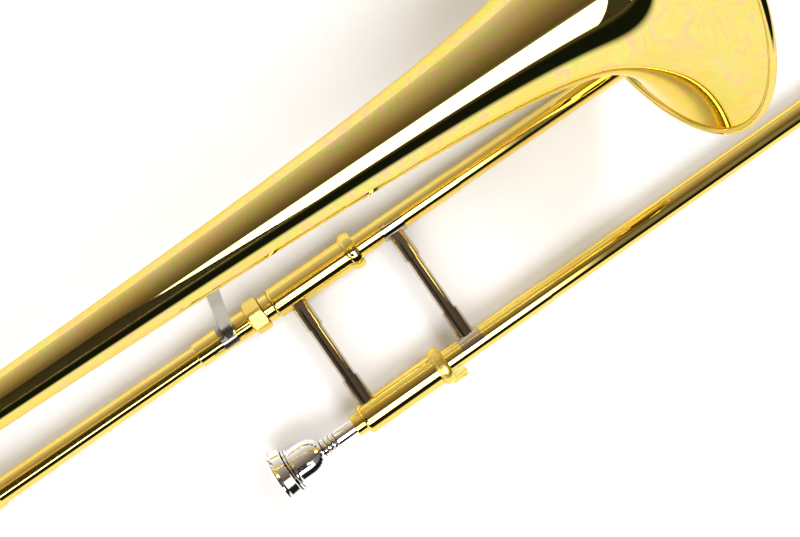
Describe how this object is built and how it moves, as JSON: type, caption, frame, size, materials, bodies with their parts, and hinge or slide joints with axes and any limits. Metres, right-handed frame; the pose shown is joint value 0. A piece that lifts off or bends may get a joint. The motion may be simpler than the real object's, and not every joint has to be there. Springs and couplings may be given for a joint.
{
  "type": "slide trombone",
  "caption": "Straight tenor trombone: flared bell section with tuning slide, U-shaped hand slide on braced inner tubes, screwed joint, slide lock, water key and cup mouthpiece.",
  "frame": {"origin": "centre of the mouthpiece rim's face, on the axis of the mouthpiece-side slide tube", "axes": "+X runs forwards along the slide towards the end bow, +Y from the mouthpiece-side tube to the neck-side tube, +Z from the slide's plane to the side the bell stands on"},
  "size_m": [1.1623, 0.2424, 0.2299],
  "materials": {
    "gold_brass": "clear gold lacquer over polished yellow brass",
    "bell_brass": "clear gold lacquer over polished yellow brass, spun",
    "nickel_silver": "bare nickel silver, polished and slightly tarnished",
    "silver_plate": "silver plate, polished",
    "chrome_tube": "chrome-plated, lapped",
    "cork": "natural cork",
    "black_rubber": "matt moulded rubber",
    "spring_steel": "drawn spring wire",
    "lock_brass": "clear gold lacquer over polished yellow brass, turned"
  },
  "bodies": {
    "bell_section": {"bell_flare": "bell_brass", "bell_stem": "bell_brass", "bell_rim_bead": "bell_brass", "neck_pipe": "gold_brass", "neck_ferrule": "gold_brass", "bell_brace": "nickel_silver", "rear_stay": "nickel_silver", "tuning_sleeve_neck": "gold_brass", "tuning_sleeve_bell": "gold_brass", "tuning_sleeve_rings": "gold_brass"},
    "tuning_slide": {"tuning_bow": "gold_brass", "tuning_leg_neck": "nickel_silver", "tuning_leg_bell": "nickel_silver", "tuning_bow_ferrules": "gold_brass", "tuning_bow_stay": "nickel_silver"},
    "inner_slide": {"slide_tenon": "gold_brass", "cork_barrel_neck": "gold_brass", "cork_barrel_mouthpiece": "gold_brass", "barrel_ring": "gold_brass", "mouthpiece_receiver": "gold_brass", "leadpipe": "gold_brass", "inner_brace_tube": "nickel_silver", "inner_brace_sockets": "nickel_silver", "inner_tube_neck": "chrome_tube", "inner_tube_mouthpiece": "chrome_tube", "slide_stockings": "chrome_tube", "bumper_corks": "cork"},
    "lock_nut": {"lock_nut": "lock_brass"},
    "slide_lock": {"slide_lock_ring": "lock_brass"},
    "outer_slide": {"outer_tube_neck": "gold_brass", "outer_tube_mouthpiece": "gold_brass", "outer_sleeves": "gold_brass", "outer_brace_tube": "nickel_silver", "outer_brace_saddles": "nickel_silver", "slide_bow": "gold_brass", "slide_bow_ferrules": "nickel_silver", "lock_pin": "nickel_silver", "bumper_socket": "nickel_silver", "rubber_bumper": "black_rubber", "water_key_saddle": "nickel_silver", "water_key_screw": "nickel_silver", "water_key_spring": "spring_steel"},
    "water_key": {"water_key_lever": "nickel_silver", "water_key_cork": "cork"},
    "mouthpiece": {"mouthpiece": "silver_plate"}
  },
  "joints": [
    {"name": "slide_swivel", "type": "hinge", "parent": "bell_section", "child": "inner_slide", "pos_m": [0.03, 0.09, 0], "axis": [1, 0, 0], "range_deg": [-30, 60]},
    {"name": "lock_nut_turn", "type": "hinge", "parent": "inner_slide", "child": "lock_nut", "pos_m": [0.045, 0.09, 0], "axis": [1, 0, 0], "range_deg": [0, 1080]},
    {"name": "hand_slide", "type": "slide", "parent": "inner_slide", "child": "outer_slide", "axis": [1, 0, 0], "range_m": [0, 0.575]},
    {"name": "slide_lock_turn", "type": "hinge", "parent": "inner_slide", "child": "slide_lock", "pos_m": [0.12, 0, 0], "axis": [1, 0, 0], "range_deg": [0, 30]},
    {"name": "tuning_slide_pull", "type": "slide", "parent": "bell_section", "child": "tuning_slide", "axis": [-1, 0, 0], "range_m": [0, 0.05]},
    {"name": "mouthpiece_pull", "type": "slide", "parent": "inner_slide", "child": "mouthpiece", "axis": [-1, 0, 0], "range_m": [0, 0.05]},
    {"name": "water_key_press", "type": "hinge", "parent": "outer_slide", "child": "water_key", "pos_m": [0.85327, -0.00266, 0], "axis": [0, 0, -1], "range_deg": [0, 18], "stiffness_Nm_per_rad": 0.05, "springref_deg": -20.05}
  ]
}
